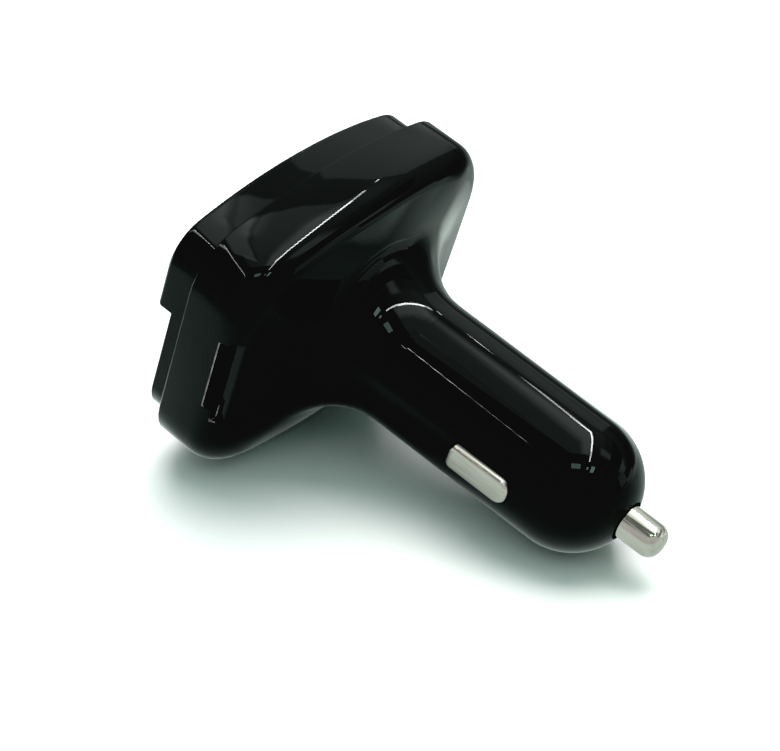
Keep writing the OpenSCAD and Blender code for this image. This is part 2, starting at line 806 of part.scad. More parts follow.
module memory_chip() {
    color("#161616") block(-chip_x, memory_chip_z, main_back_y, main_back_y + memory_t, memory_w, memory_h);
}

module crystal() {
    color("silver") block(-chip_x, memory_chip_z + memory_h / 2 + 2 * chip_gap + wireless_w + crystal_h / 2,
        main_back_y, main_back_y + crystal_t, crystal_w, crystal_h);
}

module inductor() {
    y0 = main_back_y + inductor_gap;
    color("#3a3a3c") difference() {
        translate([-inductor_w / 2, y0, board_t / 2]) cube([inductor_w, inductor_w, inductor_t]);
        translate([0, y0 + inductor_w / 2, board_t / 2 + inductor_t])
            cylinder(h = 2 * dimple_depth, r = dimple_r, center = true);
    }
}

module can_capacitor(face, r) {
    color("#23303a") rod(0, face * (board_t / 2 + r), rail_y0, rail_y0 + can_len, r);
}

module input_capacitor() {
    can_capacitor(1, input_can_r);
}

module output_capacitor() {
    can_capacitor(-1, output_can_r);
}

module regulator_chip() {
    y0 = main_back_y + inductor_gap + regulator_step;
    color("#161616") translate([-regulator_w / 2, y0, -board_t / 2 - regulator_t])
        cube([regulator_w, regulator_l, regulator_t]);
}

module diode() {
    color("#161616") translate([-inductor_w / 2 - diode_w, rail_y0 - diode_gap - diode_l, board_t / 2])
        cube([diode_w, diode_l, diode_t]);
}

// Centre pin, its spring and the seat at the end of the power board

module centre_pin() {
    tip_y = crown_y + pin_out;
    flat_r = pin_r - pin_tip_r;
    arc = [for (a = [0:15:90]) [flat_r + pin_tip_r * cos(a), tip_y - pin_tip_r + pin_tip_r * sin(a)]];
    color("silver") rotate([-90, 0, 0]) rotate_extrude()
        polygon(concat([[0, collar_back_y], [pin_collar_r, collar_back_y], [pin_collar_r, collar_seat_y],
            [pin_r, collar_seat_y]], arc, [[0, tip_y]]));
}

module pin_spring() {
    sides = 6;
    per_turn = 14;
    n = spring_turns * per_turn;
    y0 = spring_y0 + wire_r + coil_pad;
    y1 = collar_back_y - wire_r - coil_pad;
    points = [for (k = [0:n], i = [0:sides - 1]) let (a = 360 * k / per_turn, b = 360 * i / sides,
            rr = spring_r + wire_r * cos(b))
        [rr * cos(a), y0 + (y1 - y0) * k / n + wire_r * sin(b), rr * sin(a)]];
    skin = [for (k = [0:n - 1], i = [0:sides - 1]) let (j = (i + 1) % sides)
        each [[k * sides + i, (k + 1) * sides + j, k * sides + j],
            [k * sides + i, (k + 1) * sides + i, (k + 1) * sides + j]]];
    start = [for (i = [0:sides - 1]) i];
    end = [for (i = [0:sides - 1]) n * sides + sides - 1 - i];
    color("silver") polyhedron(points, concat(skin, [start, end]));
}

module spring_seat() {
    color("#c8a24a") difference() {
        union() {
            rod(0, 0, power_end_y, power_end_y + seat_t, seat_r);
            for (low = [board_t / 2, -board_t / 2 - seat_t])
                translate([-seat_tab_w / 2, power_end_y - seat_tab_l, low])
                    cube([seat_tab_w, seat_tab_l + tiny, seat_t]);
        }
        rod(0, 0, power_end_y - cut, power_end_y + seat_t + cut, seat_hole_r);
    }
}

// Side contacts: a pressed cap that stands out of the barrel, with an arm inside at each end

// Corner of a contact's outline, as [y, z] points that turn from the first angle down to the second
function contact_corner(y, z, r, from, steps) =
    [for (i = [0:steps]) let (a = from - 90 * i / steps) [y + r * cos(a), z + r * sin(a)]];

// The end toward the head is squarer than the end toward the tip
function contact_outline(inset) =
    let (y0 = contact_y - contact_len / 2, y1 = contact_y + contact_len / 2, hz = contact_w / 2,
        a = contact_head_r, b = contact_tip_r)
    concat(contact_corner(y1 - b, hz - b, b - inset, 90, 6),
        contact_corner(y1 - b, b - hz, b - inset, 0, 6),
        contact_corner(y0 + a, a - hz, a - inset, -90, 6),
        contact_corner(y0 + a, hz - a, a - inset, -180, 6));

module contact_form(x0, x1, inset) {
    edge = contact_edge_r - inset;
    steps = 4;
    loft(concat([[for (p = contact_outline(inset)) [x0, p[0], p[1]]]],
        [for (i = [0:steps]) let (a = 90 * i / steps)
            [for (p = contact_outline(inset + edge * (1 - cos(a))))
                [x1 - edge + edge * sin(a), p[0], p[1]]]]));
}

module side_contact() {
    arm_w = contact_w - 2 * contact_step;
    long = contact_len + 2 * contact_arm;
    color("silver") difference() {
        union() {
            contact_form(arm_x - contact_sheet, barrel_r + contact_out, 0);
            translate([arm_x - contact_sheet, contact_y - long / 2, -arm_w / 2]) cube([contact_sheet, long, arm_w]);
        }
        contact_form(arm_x - contact_sheet - cut, barrel_r + contact_out - contact_sheet, contact_sheet);
    }
}

rear_housing();
front_bezel();
display_window();
display_module();
key(key_xs[0]);  // key_previous
key(key_xs[1]);  // key_call
key(key_xs[2]);  // key_next
plunger(key_xs[0]);  // plunger_previous
plunger(key_xs[1]);  // plunger_call
plunger(key_xs[2]);  // plunger_next
switch_body(key_xs[0]);  // switch_previous
switch_body(key_xs[1]);  // switch_call
switch_body(key_xs[2]);  // switch_next
usb_shell(-1);  // usb_shell_left
usb_shell(1);  // usb_shell_right
usb_tongue(-1);  // usb_tongue_left
usb_tongue(1);  // usb_tongue_right
usb_contacts(-1);  // usb_contacts_left
usb_contacts(1);  // usb_contacts_right
main_board();
power_board();
board_screws();
header_strip();
header_pins();
card_socket();
card_cover();
microphone();
bluetooth_chip();
memory_chip();
crystal();
inductor();
input_capacitor();
output_capacitor();
regulator_chip();
diode();
centre_pin();
pin_spring();
spring_seat();
mirror([1, 0, 0]) side_contact();  // side_contact_left
side_contact();  // side_contact_right
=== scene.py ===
# Car FM transmitter: finishes, small details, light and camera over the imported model.
# Lengths are in metres, in the part's own frame: the plug's axis is Y and its pin points to +Y.
import json
import math
import bpy
from mathutils import Matrix, Vector


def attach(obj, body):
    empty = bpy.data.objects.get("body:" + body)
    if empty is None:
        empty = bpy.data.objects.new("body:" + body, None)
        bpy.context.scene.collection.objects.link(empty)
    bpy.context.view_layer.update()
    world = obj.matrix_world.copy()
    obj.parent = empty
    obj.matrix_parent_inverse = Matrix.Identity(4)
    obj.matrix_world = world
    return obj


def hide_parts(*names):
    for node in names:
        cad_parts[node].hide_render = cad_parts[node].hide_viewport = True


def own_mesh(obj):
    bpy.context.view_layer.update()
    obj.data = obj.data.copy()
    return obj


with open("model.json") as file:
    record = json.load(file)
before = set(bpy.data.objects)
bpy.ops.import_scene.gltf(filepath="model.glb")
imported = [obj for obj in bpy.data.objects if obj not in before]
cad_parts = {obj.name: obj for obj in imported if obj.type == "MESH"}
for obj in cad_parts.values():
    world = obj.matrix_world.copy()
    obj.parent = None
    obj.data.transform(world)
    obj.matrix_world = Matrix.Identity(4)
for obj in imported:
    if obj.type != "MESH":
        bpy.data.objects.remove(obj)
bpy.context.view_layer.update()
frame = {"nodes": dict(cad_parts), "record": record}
mm = 0.001
print("frame loaded:", len(frame["nodes"]), "nodes")


def deselectAll():
    if bpy.context.object and bpy.context.object.mode != "OBJECT":
        bpy.ops.object.mode_set(mode="OBJECT")
    bpy.ops.object.select_all(action="DESELECT")


def activate(piece):
    deselectAll()
    piece.select_set(True)
    bpy.context.view_layer.objects.active = piece


# Copy of a node with its triangles joined and its curved faces shaded smooth
def mergedCopy(nodeName, name, smoothAngle=30, mergeDistance=0.002 * mm):
    piece = bpy.data.objects.new(name, frame["nodes"][nodeName].data.copy())
    bpy.context.scene.collection.objects.link(piece)
    activate(piece)
    bpy.ops.mesh.customdata_custom_splitnormals_clear()
    bpy.ops.object.mode_set(mode="EDIT")
    bpy.ops.mesh.select_all(action="SELECT")
    bpy.ops.mesh.remove_doubles(threshold=mergeDistance)
    bpy.ops.object.mode_set(mode="OBJECT")
    bpy.ops.object.shade_smooth_by_angle(angle=math.radians(smoothAngle))
    piece.data.materials.clear()
    return piece


def standFor(piece, nodeName, material):
    piece.data.materials.clear()
    piece.data.materials.append(material)
    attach(piece, bodyOf[nodeName])
    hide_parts(nodeName)


bodyOf = {node: body for body, nodes in frame["record"]["behaviour"]["bodies"].items() for node in nodes}


def newFinish(name, baseColor, metallic, roughness, **sockets):
    material = bpy.data.materials.new(name)
    material.use_nodes = True
    shader = material.node_tree.nodes["Principled BSDF"]
    shader.inputs["Base Color"].default_value = (*baseColor, 1)
    shader.inputs["Metallic"].default_value = metallic
    shader.inputs["Roughness"].default_value = roughness
    for socket, value in sockets.items():
        shader.inputs[socket.replace("_", " ")].default_value = value
    return material, material.node_tree, shader


def objectCoords(tree, scale=(1, 1, 1)):
    coords = tree.nodes.new("ShaderNodeTexCoord")
    mapping = tree.nodes.new("ShaderNodeMapping")
    mapping.inputs["Scale"].default_value = scale
    tree.links.new(coords.outputs["Object"], mapping.inputs["Vector"])
    return mapping.outputs["Vector"]


def noiseOf(tree, vector, scale, detail=3.0, roughness=0.5, distortion=0.0):
    noise = tree.nodes.new("ShaderNodeTexNoise")
    noise.inputs["Scale"].default_value = scale
    noise.inputs["Detail"].default_value = detail
    noise.inputs["Roughness"].default_value = roughness
    noise.inputs["Distortion"].default_value = distortion
    tree.links.new(vector, noise.inputs["Vector"])
    return noise.outputs["Fac"]


def rangeOf(tree, value, fromMin, fromMax, toMin, toMax):
    node = tree.nodes.new("ShaderNodeMapRange")
    for socket, number in (("From Min", fromMin), ("From Max", fromMax), ("To Min", toMin), ("To Max", toMax)):
        node.inputs[socket].default_value = number
    tree.links.new(value, node.inputs["Value"])
    return node.outputs["Result"]


def colourRamp(tree, value, stops):
    ramp = tree.nodes.new("ShaderNodeValToRGB")
    while len(ramp.color_ramp.elements) < len(stops):
        ramp.color_ramp.elements.new(0.5)
    for element, (position, colour) in zip(ramp.color_ramp.elements, stops):
        element.position = position
        element.color = (*colour, 1)
    tree.links.new(value, ramp.inputs["Fac"])
    return ramp.outputs["Color"]


def bumpInto(tree, shader, height, distance, strength=1.0):
    bump = tree.nodes.new("ShaderNodeBump")
    bump.inputs["Strength"].default_value = strength
    bump.inputs["Distance"].default_value = distance
    tree.links.new(height, bump.inputs["Height"])
    tree.links.new(bump.outputs["Normal"], shader.inputs["Normal"])


glossPlastic = {
    "shellColour": (0.0022, 0.0024, 0.0025),
    "bezelColour": (0.0026, 0.0028, 0.0029),
    "roughLow": 0.015,
    "roughHigh": 0.055,
    "smudgeScale": 70,
    "waveScale": 230,
    "waveHeight": 0.0016 * mm,
}


def makeGlossPlastic(name, colour):
    material, tree, shader = newFinish(name, colour, 0, 0.04, IOR=1.52)
    coords = objectCoords(tree)
    smudge = noiseOf(tree, coords, glossPlastic["smudgeScale"], 5, 0.62, 0.6)
    tree.links.new(rangeOf(tree, smudge, 0.35, 0.75, glossPlastic["roughLow"], glossPlastic["roughHigh"]),
                   shader.inputs["Roughness"])
    wave = noiseOf(tree, coords, glossPlastic["waveScale"], 1, 0.4)
    bumpInto(tree, shader, wave, glossPlastic["waveHeight"])
    return material


nickel = {"colour": (0.90, 0.88, 0.81), "darker": (0.74, 0.71, 0.62), "roughLow": 0.09, "roughHigh": 0.20}


def makeNickel(name, stretch):
    material, tree, shader = newFinish(name, nickel["colour"], 1, 0.18)
    coords = objectCoords(tree, stretch)
    grain = noiseOf(tree, coords, 900, 4, 0.6)
    tree.links.new(colourRamp(tree, grain, [(0.3, nickel["darker"]), (0.62, nickel["colour"])]),
                   shader.inputs["Base Color"])
    tree.links.new(rangeOf(tree, grain, 0.3, 0.7, nickel["roughLow"], nickel["roughHigh"]), shader.inputs["Roughness"])
    bumpInto(tree, shader, grain, 0.002 * mm)
    return material


def makeMottled(name, light, dark, metallic, roughness, scale, height, stretch=(1, 1, 1)):
    material, tree, shader = newFinish(name, light, metallic, roughness)
    coords = objectCoords(tree, stretch)
    mottle = noiseOf(tree, coords, scale, 4, 0.6)
    tree.links.new(colourRamp(tree, mottle, [(0.32, dark), (0.68, light)]), shader.inputs["Base Color"])
    tree.links.new(rangeOf(tree, mottle, 0.3, 0.7, max(roughness - 0.08, 0.02), roughness + 0.08),
                   shader.inputs["Roughness"])
    bumpInto(tree, shader, mottle, height)
    return material


def makeBoard(name):
    material, tree, shader = newFinish(name, (0.006, 0.014, 0.010), 0, 0.32, IOR=1.5)
    coords = objectCoords(tree)
    tracks = tree.nodes.new("ShaderNodeTexVoronoi")
    tracks.feature = "DISTANCE_TO_EDGE"
    tracks.distance = "CHEBYCHEV"
    tracks.inputs["Scale"].default_value = 420
    tracks.inputs["Randomness"].default_value = 0.6
    tree.links.new(coords, tracks.inputs["Vector"])
    tree.links.new(colourRamp(tree, tracks.outputs["Distance"],
                              [(0.03, (0.004, 0.008, 0.006)), (0.12, (0.009, 0.020, 0.014))]),
                   shader.inputs["Base Color"])
    bumpInto(tree, shader, tracks.outputs["Distance"], 0.02 * mm)
    return material


finishes = {
    "shell": makeGlossPlastic("glossBlackShell", glossPlastic["shellColour"]),
    "bezel": makeGlossPlastic("glossBlackBezel", glossPlastic["bezelColour"]),
    # painted highlight: pale plastic standing in for the bright lines of light along the card slot's edges
    "paintedEdgeHighlight": makeMottled("paintedEdgeHighlight", (0.27, 0.23, 0.22), (0.15, 0.13, 0.13), 0, 0.3, 600, 0.002 * mm),
    "pin": makeNickel("nickelPin", (1, 0.15, 1)),
    "contact": makeNickel("nickelContact", (1, 0.12, 1)),
    "steel": makeMottled("brightSteel", (0.72, 0.72, 0.72), (0.5, 0.5, 0.5), 1, 0.24, 700, 0.001 * mm, (1, 0.1, 1)),
    "spring": makeMottled("springWire", (0.62, 0.61, 0.58), (0.42, 0.41, 0.39), 1, 0.3, 900, 0.001 * mm),
    "brass": makeMottled("brassSheet", (0.78, 0.6, 0.28), (0.6, 0.43, 0.18), 1, 0.3, 500, 0.001 * mm),
    "gold": makeMottled("goldFlash", (0.9, 0.68, 0.28), (0.76, 0.54, 0.2), 1, 0.25, 800, 0.001 * mm),
    "whitePlastic": makeMottled("whiteSocketPlastic", (0.8, 0.8, 0.77), (0.7, 0.7, 0.67), 0, 0.45, 400, 0.004 * mm),
    "darkPlastic": makeMottled("darkSocketPlastic", (0.02, 0.02, 0.021), (0.01, 0.01, 0.01), 0, 0.5, 500, 0.006 * mm),
    "key": makeMottled("satinKeyPlastic", (0.012, 0.012, 0.013), (0.007, 0.007, 0.007), 0, 0.38, 900, 0.004 * mm),
    "plunger": makeMottled("redPlunger", (0.32, 0.03, 0.02), (0.22, 0.02, 0.015), 0, 0.45, 600, 0.004 * mm),
    "epoxy": makeMottled("chipEpoxy", (0.018, 0.018, 0.018), (0.01, 0.01, 0.01), 0, 0.55, 1500, 0.006 * mm),
    "ferrite": makeMottled("ferriteBody", (0.06, 0.06, 0.065), (0.03, 0.03, 0.03), 0, 0.6, 1200, 0.01 * mm),
    "sleeve": makeMottled("capacitorSleeve", (0.03, 0.05, 0.09), (0.02, 0.035, 0.06), 0, 0.28, 500, 0.003 * mm),
    "board": makeBoard("darkBoard"),
}


def makeSmokedWindow():
    material, tree, shader = newFinish("smokedWindow", (0.3, 0.3, 0.31), 0, 0.03, IOR=1.49)
    shader.inputs["Transmission Weight"].default_value = 0.97
    smudge = noiseOf(tree, objectCoords(tree), 90, 4, 0.6)
    tree.links.new(rangeOf(tree, smudge, 0.3, 0.7, 0.015, 0.06), shader.inputs["Roughness"])
    return material


finishes["window"] = makeSmokedWindow()
finishes["display"] = makeMottled("displayFace", (0.016, 0.016, 0.018), (0.011, 0.011, 0.012), 0, 0.4, 700, 0.002 * mm)
finishes["segment"] = makeMottled("milkySegment", (0.42, 0.42, 0.4), (0.36, 0.36, 0.34), 0, 0.45, 900, 0.002 * mm)
finishes["print"] = makeMottled("whitePrint", (0.62, 0.63, 0.62), (0.5, 0.51, 0.5), 0, 0.5, 1600, 0.001 * mm)
finishes["solder"] = makeMottled("tinSolder", (0.66, 0.66, 0.67), (0.5, 0.5, 0.52), 1, 0.22, 1200, 0.004 * mm)
finishes["cloth"] = makeMottled("micCloth", (0.02, 0.02, 0.02), (0.006, 0.006, 0.006), 0, 0.85, 4000, 0.02 * mm)
print("finishes made:", len(finishes))


smoothCopies = {
    "rear_housing": ("rearHousing", "shell", 50),
    "front_bezel": ("frontBezel", "bezel", 35),
    "centre_pin": ("centrePin", "pin", 35),
    "side_contact_left": ("sideContactLeft", "contact", 40),
    "side_contact_right": ("sideContactRight", "contact", 40),
    "display_window": ("displayWindow", "window", 30),
    "key_previous": ("keyPrevious", "key", 30),
    "key_call": ("keyCall", "key", 30),
    "key_next": ("keyNext", "key", 30),
    "pin_spring": ("pinSpring", "spring", 60),
    "input_capacitor": ("inputCapacitor", "sleeve", 30),
    "output_capacitor": ("outputCapacitor", "sleeve", 30),
    "microphone": ("microphoneCan", "steel", 30),
}
for nodeName, (pieceName, finish, angle) in smoothCopies.items():
    standFor(mergedCopy(nodeName, pieceName, angle), nodeName, finishes[finish])
print("smooth copies made:", len(smoothCopies))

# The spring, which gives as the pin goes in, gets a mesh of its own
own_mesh(bpy.data.objects["pinSpring"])


# The moulding's own small softenings: its neck runs on without a line, and no edge of the mouth is keen
softening = {
    "neckRadius": 10.262 * mm,
    "neckReach": 1.0 * mm,
    "mouthLow": (23.9 * mm, -16.4 * mm, -7.9 * mm),
    "mouthHigh": (27.7 * mm, -8.0 * mm, 7.9 * mm),
    "mouthBevel": 0.16 * mm,
    "nearEdge": -16.0 * mm,
    "cornerTop": -3.9 * mm,
    "lowEdge": -7.2 * mm,
}


def selectWhere(elements, test):
    for element in elements:
        element.select = test(element)


def within(point, low, high):
    return all(low[axis] <= point[axis] <= high[axis] for axis in range(3))


# Painted highlight: pale plastic on the slot's near edge, its far lower corner and the recess's lower edge, standing in
# for the bright lines of light along these edges
def isPaintedHighlight(point):
    if point.y < softening["nearEdge"]:
        return point.x > 27.2 * mm
    if point.z < softening["lowEdge"]:
        return point.x > 26.2 * mm
    return point.z < softening["cornerTop"] and point.x < 25.9 * mm and abs(point.y + 14.75 * mm) < 0.3 * mm


def softenHousing():
    housing = bpy.data.objects["rearHousing"]
    activate(housing)
    bpy.ops.object.mode_set(mode="EDIT")
    bpy.ops.mesh.select_mode(type="VERT")
    bpy.ops.mesh.select_all(action="DESELECT")
    bpy.ops.object.mode_set(mode="OBJECT")
    selectWhere(housing.data.vertices, lambda vertex: abs(vertex.co.y) < 0.001 * mm
                and math.hypot(vertex.co.x, vertex.co.z) < softening["neckRadius"])
    bpy.ops.object.mode_set(mode="EDIT")
    bpy.ops.transform.translate(value=(0, softening["neckReach"], 0))
    bpy.ops.object.mode_set(mode="OBJECT")
    low, high = softening["mouthLow"], softening["mouthHigh"]
    selectWhere(housing.data.vertices, lambda vertex: within(vertex.co, low, high))
    bpy.ops.object.mode_set(mode="EDIT")
    bpy.ops.mesh.bisect(plane_co=(0, 0, softening["cornerTop"]), plane_no=(0, 0, 1))
    bpy.ops.mesh.select_mode(type="EDGE")
    bpy.ops.mesh.select_all(action="DESELECT")
    bpy.ops.mesh.edges_select_sharp(sharpness=math.radians(40))
    bpy.ops.object.mode_set(mode="OBJECT")
    points = [vertex.co for vertex in housing.data.vertices]
    selectWhere(housing.data.edges, lambda edge: edge.select
                and all(within(points[index], low, high) for index in edge.vertices))
    print("mouth edges:", sum(edge.select for edge in housing.data.edges))
    bpy.ops.object.mode_set(mode="EDIT")
    bpy.ops.mesh.bevel(offset=softening["mouthBevel"], segments=2, clamp_overlap=False)
    bpy.ops.object.mode_set(mode="OBJECT")
    bpy.ops.object.shade_smooth_by_angle(angle=math.radians(50))
    # Paints the pale edge highlight onto the faces along the slot's near edge, its far lower corner and the recess's
    # lower edge
    housing.data.materials.append(finishes["paintedEdgeHighlight"])
    for face in housing.data.polygons:
        if face.select and isPaintedHighlight(face.center):
            face.material_index = 1
    deselectAll()


softenHousing()
print("housing softened")

nodeFinishes = {
    "display_module": "display", "plunger_previous": "plunger", "plunger_call": "plunger", "plunger_next": "plunger",
    "switch_previous": "darkPlastic", "switch_call": "darkPlastic", "switch_next": "darkPlastic",
    "usb_shell_left": "steel", "usb_shell_right": "steel",
    "usb_tongue_left": "whitePlastic", "usb_tongue_right": "whitePlastic",
    "usb_contacts_left": "gold", "usb_contacts_right": "gold",
    "main_board": "board", "power_board": "board", "board_screws": "steel",
    "header_strip": "darkPlastic", "header_pins": "gold", "card_socket": "darkPlastic", "card_cover": "steel",
    "bluetooth_chip": "epoxy", "memory_chip": "epoxy", "crystal": "steel", "inductor": "ferrite",
    "regulator_chip": "epoxy", "diode": "epoxy", "spring_seat": "brass",
}
for nodeName, finish in nodeFinishes.items():
    node = frame["nodes"][nodeName]
    node.data.materials.clear()
    node.data.materials.append(finishes[finish])
print("node finishes set:", len(nodeFinishes))


def editMode(piece, mode="VERT"):
    activate(piece)
    bpy.ops.object.mode_set(mode="EDIT")
    bpy.ops.mesh.select_mode(type=mode)
    bpy.ops.mesh.select_all(action="SELECT")


# Turns a flat shape drawn in X and Y to face the keys' side, with its place in its mesh
def faceFront(piece, x, y, z, turn=0.0):
    axes = Matrix(((1, 0, 0), (0, 0, 1), (0, -1, 0))).transposed().to_4x4()
    spin = Matrix.Rotation(turn, 4, "Z")
    piece.data.transform(Matrix.Translation((x, y, z)) @ axes @ spin)


def thicken(piece, thickness):
    activate(piece)
    wall = piece.modifiers.new("wall", "SOLIDIFY")
    wall.thickness = thickness
    wall.offset = 0
    bpy.ops.object.modifier_apply(modifier="wall")


def copyOf(piece, name):
    twin = piece.copy()
    twin.data = piece.data.copy()
    twin.name = name
    bpy.context.scene.collection.objects.link(twin)
    return twin


def joinAs(pieces, name, material, body):
    deselectAll()
    for piece in pieces:
        piece.select_set(True)
    bpy.context.view_layer.objects.active = pieces[0]
    if len(pieces) > 1:
        bpy.ops.object.join()
    joined = bpy.context.object
    joined.name = name
    joined.data.materials.clear()
    joined.data.materials.append(material)
    bpy.ops.object.shade_smooth_by_angle(angle=math.radians(30))
    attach(joined, body)
    return joined


def flatPlane(width, height, name):
    deselectAll()
    bpy.ops.mesh.primitive_plane_add(size=1)
    plane = bpy.context.object
    plane.name = name
    plane.data.transform(Matrix.Diagonal((width, height, 1, 1)))
    return plane


# Unlit digits on the display's face, seen through the smoked window
digits = {
    "count": 4,
    "pitch": 6.3 * mm,
    "height": 5.6 * mm,
    "width": 3.2 * mm,
    "bar": 0.72 * mm,
    "split": 0.1 * mm,
    "slant": math.radians(6),
    "faceY": -24.374 * mm,
    "middleZ": -4.6 * mm,
    "thickness": 0.08 * mm,
}


def makeSegment(length, name):
    segment = flatPlane(length, digits["bar"], name)
    editMode(segment)
    bpy.ops.mesh.bevel(offset=digits["bar"] * 0.47, segments=1, affect="VERTICES", clamp_overlap=False)
    bpy.ops.object.mode_set(mode="OBJECT")
    thicken(segment, digits["thickness"])
    return segment


def makeDigits():
    acrossLength = digits["width"] - 2 * digits["split"]
    uprightLength = digits["height"] / 2 - 2 * digits["split"]
    across = makeSegment(acrossLength, "segmentAcross")
    upright = makeSegment(uprightLength, "segmentUpright")
    upright.data.transform(Matrix.Rotation(math.pi / 2, 4, "Z"))
    deselectAll()
    bpy.ops.mesh.primitive_circle_add(vertices=20, radius=digits["bar"] * 0.55, fill_type="NGON")
    dot = bpy.context.object
    editMode(dot, "FACE")
    bpy.ops.mesh.inset(thickness=digits["bar"] * 0.12)
    bpy.ops.object.mode_set(mode="OBJECT")
    thicken(dot, digits["thickness"])
    shapes = [(across, 0, 1), (across, 0, 0), (across, 0, -1)]
    shapes += [(upright, side, half) for side in (-1, 1) for half in (-0.5, 0.5)]
    slant = Matrix(((1, math.tan(digits["slant"]), 0, 0), (0, 1, 0, 0), (0, 0, 1, 0), (0, 0, 0, 1)))
    pieces = []
    for count in range(digits["count"]):
        start = (count - (digits["count"] - 1) / 2) * digits["pitch"]
        for shape, side, level in shapes:
            twin = copyOf(shape, "digitSegment")
            place = (side * digits["width"] / 2, level * digits["height"] / 2, 0)
            twin.data.transform(Matrix.Translation((start, 0, 0)) @ slant @ Matrix.Translation(place))
            pieces.append(twin)
    place = (1.5 * digits["pitch"] - digits["width"] / 2 - digits["bar"] * 1.5, -digits["height"] / 2, 0)
    dot.data.transform(slant @ Matrix.Translation(place))
    pieces.append(dot)
    for shape in (across, upright):
        bpy.data.objects.remove(shape)
    shown = joinAs(pieces, "displayDigits", finishes["segment"], bodyOf["display_module"])
    faceFront(shown, 0, digits["faceY"], digits["middleZ"])


makeDigits()
print("display digits made")

# White signs printed on the keys: skip back, handset, skip on
signs = {
    "faceY": -27.054 * mm,
    "thickness": 0.04 * mm,
    "keyX": 10.6 * mm,
    "keyZ": -14.0 * mm,
    "arrow": 0.72 * mm,
    "stop": (0.26 * mm, 1.2 * mm),
    "handset": 0.95 * mm,
    "handle": 0.3 * mm,
    "cup": (0.62 * mm, 0.56 * mm),
    "curve": math.radians(110),
}


def makeArrow(x):
    deselectAll()
    bpy.ops.mesh.primitive_circle_add(vertices=3, radius=signs["arrow"], fill_type="NGON")
    arrow = bpy.context.object
    arrow.data.transform(Matrix.Translation((x, 0, 0)) @ Matrix.Rotation(-math.pi / 2, 4, "Z"))
    editMode(arrow)
    bpy.ops.mesh.bevel(offset=signs["arrow"] * 0.09, segments=2, affect="VERTICES")
    bpy.ops.object.mode_set(mode="OBJECT")
    return arrow


def makeSkip(name, nodeName, way):
    parts = [makeArrow(-0.62 * mm), makeArrow(0.42 * mm)]
    stop = flatPlane(*signs["stop"], "skipStop")
    stop.data.transform(Matrix.Translation((1.3 * mm, 0, 0)))
    sign = joinAs(parts + [stop], name, finishes["print"], bodyOf[nodeName])
    thicken(sign, signs["thickness"])
    faceFront(sign, way * signs["keyX"], signs["faceY"], signs["keyZ"], 0 if way > 0 else math.pi)


def makeHandset():
    handle = flatPlane(signs["handle"], 0.02 * mm, "handsetHandle")
    handle.data.transform(Matrix.Translation((signs["handset"], 0, 0)))
    handle.data.transform(Matrix.Rotation(math.pi / 2 + signs["curve"] / 2, 4, "Z"))
    editMode(handle, "EDGE")
    bpy.ops.mesh.spin(steps=14, angle=signs["curve"], center=(0, 0, 0), axis=(0, 0, 1))
    bpy.ops.mesh.select_all(action="SELECT")
    bpy.ops.mesh.remove_doubles(threshold=0.001 * mm)
    bpy.ops.object.mode_set(mode="OBJECT")
    cups = []
    for side in (-1, 1):
        cup = flatPlane(*signs["cup"], "handsetCup")
        editMode(cup)
        bpy.ops.mesh.bevel(offset=0.14 * mm, segments=4, affect="VERTICES")
        bpy.ops.object.mode_set(mode="OBJECT")
        cup.data.transform(Matrix.Rotation(side * signs["curve"] / 2, 4, "Z")
                           @ Matrix.Translation((0, signs["handset"] - 0.12 * mm, 0)))
        thicken(cup, signs["thickness"] * 0.8)
        cups.append(cup)
    thicken(handle, signs["thickness"])
    sign = joinAs([handle] + cups, "callSign", finishes["print"], bodyOf["key_call"])
    sign.data.transform(Matrix.Translation((0, -signs["handset"] * 0.75, 0)))
    faceFront(sign, 0, signs["faceY"], signs["keyZ"], math.radians(40))


makeSkip("previousSign", "key_previous", -1)
makeSkip("nextSign", "key_next", 1)
makeHandset()
print("key signs made")

# Leaf springs in the cuts of the two socket shells
leaves = {
    "socketX": 13.2 * mm,
    "socketZ": 11.375 * mm,
    "acrossPitch": 6.0 * mm,
    "width": 1.6 * mm,
    "sheet": 0.22 * mm,
    "wallZ": 2.7 * mm,
    "rootY": -23.3 * mm,
    "path": ((-0.6, 0.0), (-0.7, -0.16), (-0.6, -0.18), (-0.35, -0.05), (-0.35, 0.14)),  # mm steps to the mouth
}


def makeLeaf():
    deselectAll()
    bpy.ops.mesh.primitive_plane_add(size=1)
    leaf = bpy.context.object
    leaf.data.transform(Matrix.Diagonal((leaves["width"], 0.16 * mm, 1, 1)))
    editMode(leaf, "EDGE")
    bpy.ops.mesh.select_all(action="DESELECT")
    bpy.ops.object.mode_set(mode="OBJECT")
    points = [vertex.co for vertex in leaf.data.vertices]
    selectWhere(leaf.data.edges, lambda edge: all(points[index].y < 0 for index in edge.vertices))
    bpy.ops.object.mode_set(mode="EDIT")
    for stepY, stepZ in leaves["path"]:
        bpy.ops.mesh.extrude_region_move(TRANSFORM_OT_translate={"value": (0, stepY * mm, stepZ * mm)})
    bpy.ops.object.mode_set(mode="OBJECT")
    thicken(leaf, leaves["sheet"])
    return leaf


def makeLeaves():
    model = makeLeaf()
    for side, name in ((-1, "socketLeavesLeft"), (1, "socketLeavesRight")):
        twins = []
        for across in (-1, 1):
            for wall in (-1, 1):
                twin = copyOf(model, "socketLeaf")
                place = (side * leaves["socketX"] + across * leaves["acrossPitch"] / 2, leaves["rootY"],
                         leaves["socketZ"] + wall * leaves["wallZ"])
                turn = Matrix.Identity(4) if wall > 0 else Matrix.Diagonal((-1, 1, -1, 1))
                twin.data.transform(Matrix.Translation(place) @ turn)
                twins.append(twin)
        joinAs(twins, name, finishes["steel"], bodyOf["usb_shell_left"])
    bpy.data.objects.remove(model)


makeLeaves()
print("socket leaves made")

